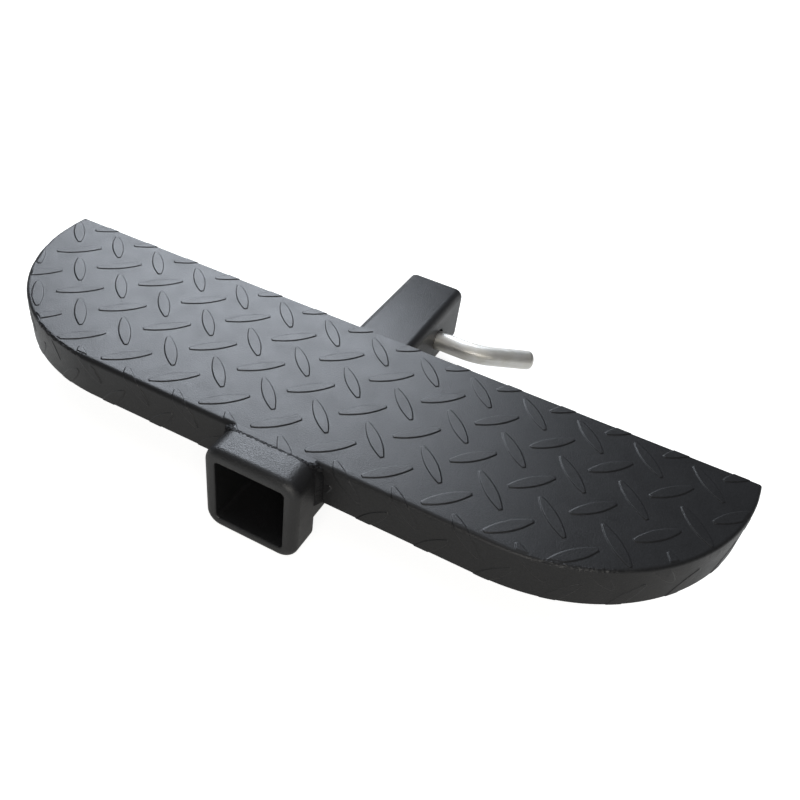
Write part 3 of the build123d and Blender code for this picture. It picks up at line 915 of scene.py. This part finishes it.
for side, sign in (("left", -1), ("right", 1)):
    toes = []
    for z in spread(SKIRT_BOTTOM + 0.2, DECK_TOP - 0.3, FINE_STEP):
        leg = SIDE_LEG - (SIDE_LEG - SIDE_LEG_TOP) * smooth((z - SIDE_TAPER_FROM) / SIDE_TAPER)
        over = max(z - DECK_TOP + FOLD, 0)
        skirt_y = DECK_FRONT + FOLD - sqrt(FOLD ** 2 - over ** 2)
        half = collar_half(z)
        toes.append((
            (sign * (half + leg), skirt_y, z), (sign * half, COLLAR_REAR - leg / 2, z),
            (sign * (NOTCH_HALF + 0.2), skirt_y + 0.5, z),
        ))
    side_bead = Shell()
    bead(side_bead, toes, seed=4.0 + sign, bulge=0.4, ripple=0.3, rough=0.3)
    for x, behind, below, size, seed in CORNER_LUMPS:
        centre = (sign * x, COLLAR_REAR + behind, DECK_TOP - below)
        blob(side_bead, centre, (1.2 * size, size, 0.7 * size), seed + sign)
    weld_piece(side_bead, "side_bead_" + side, "collar_side_weld_" + side)

    stitches = Shell()
    span = TUBE_REAR - DECK_FRONT - SHEET
    for k in range(STITCHES):
        middle = DECK_FRONT + SHEET + span * (k + 0.5) / STITCHES
        toes = []
        for y in spread(middle - STITCH_HALF, middle + STITCH_HALF, WELD_STEP):
            toes.append((
                (sign * (TUBE / 2 + STITCH_WIDE), y, DECK_UNDER),
                (sign * TUBE / 2, y, DECK_UNDER - STITCH_DEEP),
                (sign * (TUBE / 2 - STITCH_ROOT), y, DECK_UNDER),
            ))
        bead(stitches, toes, seed=7.0 + k + 3 * sign, bulge=0.4)
    weld_piece(stitches, "stitch_beads_" + side, "deck_tube_weld_" + side)


def ring_toes(size, corner, y, below):
    """Toes of a bead round a square tube, on a face at y, where it is below a height."""
    toes = []
    for x, z, nx, nz in square_path(size, corner, WELD_STEP):
        if z < below:
            first = (x + RING_LEG * nx, y, z + RING_LEG * nz)
            second = (x + RING_TOE * nx, y + RING_LEG, z + RING_TOE * nz)
            toes.append((first, second, (x, y, z)))
    return toes


shank_bead = Shell()
bead(shank_bead, ring_toes(SHANK, SHANK_CORNER, TUBE_REAR, SHANK), seed=2.2, bulge=0.45, closed=True)
weld_piece(shank_bead, "shank_bead", "shank_weld")

collar_bead = Shell()
bead(collar_bead, ring_toes(TUBE, TUBE_CORNER, COLLAR_REAR, SKIRT_BOTTOM - 0.3), seed=6.1, bulge=0.45)
weld_piece(collar_bead, "collar_bead", "collar_tube_weld")


# Floor, light and camera
def background_seen(tree, gloss_share):
    """How much of the white background a ray sees: all of it straight or through glass, a share in gloss."""
    path = add_node(tree, "ShaderNodeLightPath")
    straight = add_node(tree, "ShaderNodeMath", operation="MAXIMUM")
    tree.links.new(path.outputs["Is Camera Ray"], straight.inputs[0])
    tree.links.new(path.outputs["Is Transmission Ray"], straight.inputs[1])
    seen = add_node(tree, "ShaderNodeMath", operation="MULTIPLY_ADD")
    seen.inputs[1].default_value = gloss_share
    tree.links.new(path.outputs["Is Glossy Ray"], seen.inputs[0])
    tree.links.new(straight.outputs[0], seen.inputs[2])
    return seen.outputs[0]


def white_floor(reach=6.0, height=-0.0352):
    """Pale floor just under the part, which looks white and keeps the part's shadow."""
    mesh = bpy.data.meshes.new("floor")
    mesh.from_pydata(
        [(-reach, -reach, height), (reach, -reach, height), (reach, reach, height), (-reach, reach, height)],
        [], [(0, 1, 2, 3)],
    )
    floor = bpy.data.objects.new("floor", mesh)
    bpy.context.scene.collection.objects.link(floor)
    material = bpy.data.materials.new("floor_white")
    material.use_nodes = True
    tree = material.node_tree
    tree.nodes.clear()
    output = add_node(tree, "ShaderNodeOutputMaterial")
    diffuse = add_node(tree, "ShaderNodeBsdfDiffuse", Color=(0.64, 0.63, 0.60, 1))
    coords = add_node(tree, "ShaderNodeTexCoord")
    distance = add_node(tree, "ShaderNodeVectorMath", operation="LENGTH")
    tree.links.new(coords.outputs["Object"], distance.inputs[0])
    level = range_node(tree, distance.outputs["Value"], 0.86, 1.0, first=0.8, last=1.8)
    glow = add_node(tree, "ShaderNodeEmission", Color=(1, 1, 1, 1))
    tree.links.new(level, glow.inputs["Strength"])
    bright = add_node(tree, "ShaderNodeAddShader")
    choice = add_node(tree, "ShaderNodeMixShader")
    tree.links.new(diffuse.outputs[0], bright.inputs[0])
    tree.links.new(glow.outputs[0], bright.inputs[1])
    tree.links.new(background_seen(tree, 0.22), choice.inputs["Fac"])
    tree.links.new(diffuse.outputs[0], choice.inputs[1])
    tree.links.new(bright.outputs[0], choice.inputs[2])
    tree.links.new(choice.outputs[0], output.inputs["Surface"])
    mesh.materials.append(material)


def studio_world():
    """Dim even light all round, seen as white."""
    world = bpy.data.worlds.new("studio")
    bpy.context.scene.world = world
    world.use_nodes = True
    tree = world.node_tree
    background = tree.nodes["Background"]
    mix = add_node(tree, "ShaderNodeMix", data_type="RGBA")
    mix.inputs["A"].default_value = (0.084, 0.088, 0.096, 1)
    mix.inputs["B"].default_value = (1, 1, 1, 1)
    tree.links.new(background_seen(tree, 0.03), mix.inputs["Factor"])
    tree.links.new(mix.outputs["Result"], background.inputs["Color"])
    background.inputs["Strength"].default_value = 1.0


def soft_lamp(name, place, aim, width, height, power, color):
    lamp = bpy.data.lights.new(name, "AREA")
    lamp.shape = "RECTANGLE"
    lamp.size, lamp.size_y = width, height
    lamp.energy = power
    lamp.color = color
    obj = bpy.data.objects.new(name, lamp)
    bpy.context.scene.collection.objects.link(obj)
    obj.location = place
    direction = Vector(aim) - Vector(place)
    obj.rotation_euler = direction.to_track_quat("-Z", "Y").to_euler()


white_floor()
studio_world()
soft_lamp(
    "back_left", place=(-0.95, 1.12, 1.14), aim=(-0.1, -0.12, 0), width=1.3, height=0.9, power=37,
    color=(0.85, 0.91, 1.0),
)
soft_lamp(
    "overhead", place=(0.1, -0.2, 1.7), aim=(0, -0.12, 0), width=1.6, height=1.6, power=4, color=(1, 1, 1)
)
soft_lamp(
    "front_fill", place=(0.6, -1.5, 0.7), aim=(0, -0.12, 0), width=1.2, height=0.8, power=10,
    color=(1, 0.97, 0.92),
)

camera_data = bpy.data.cameras.new("camera")
camera_data.sensor_fit = "HORIZONTAL"
camera_data.sensor_width = 36.0
camera_data.lens = 35.917
camera_data.clip_start = 0.01
camera = bpy.data.objects.new("camera", camera_data)
bpy.context.scene.collection.objects.link(camera)
camera.location = (0.19816, -0.52567, 0.38679)
camera.rotation_euler = (radians(49.931), radians(-6.957), radians(26.483))
bpy.context.scene.camera = camera
bpy.context.scene.view_settings.view_transform = "Standard"
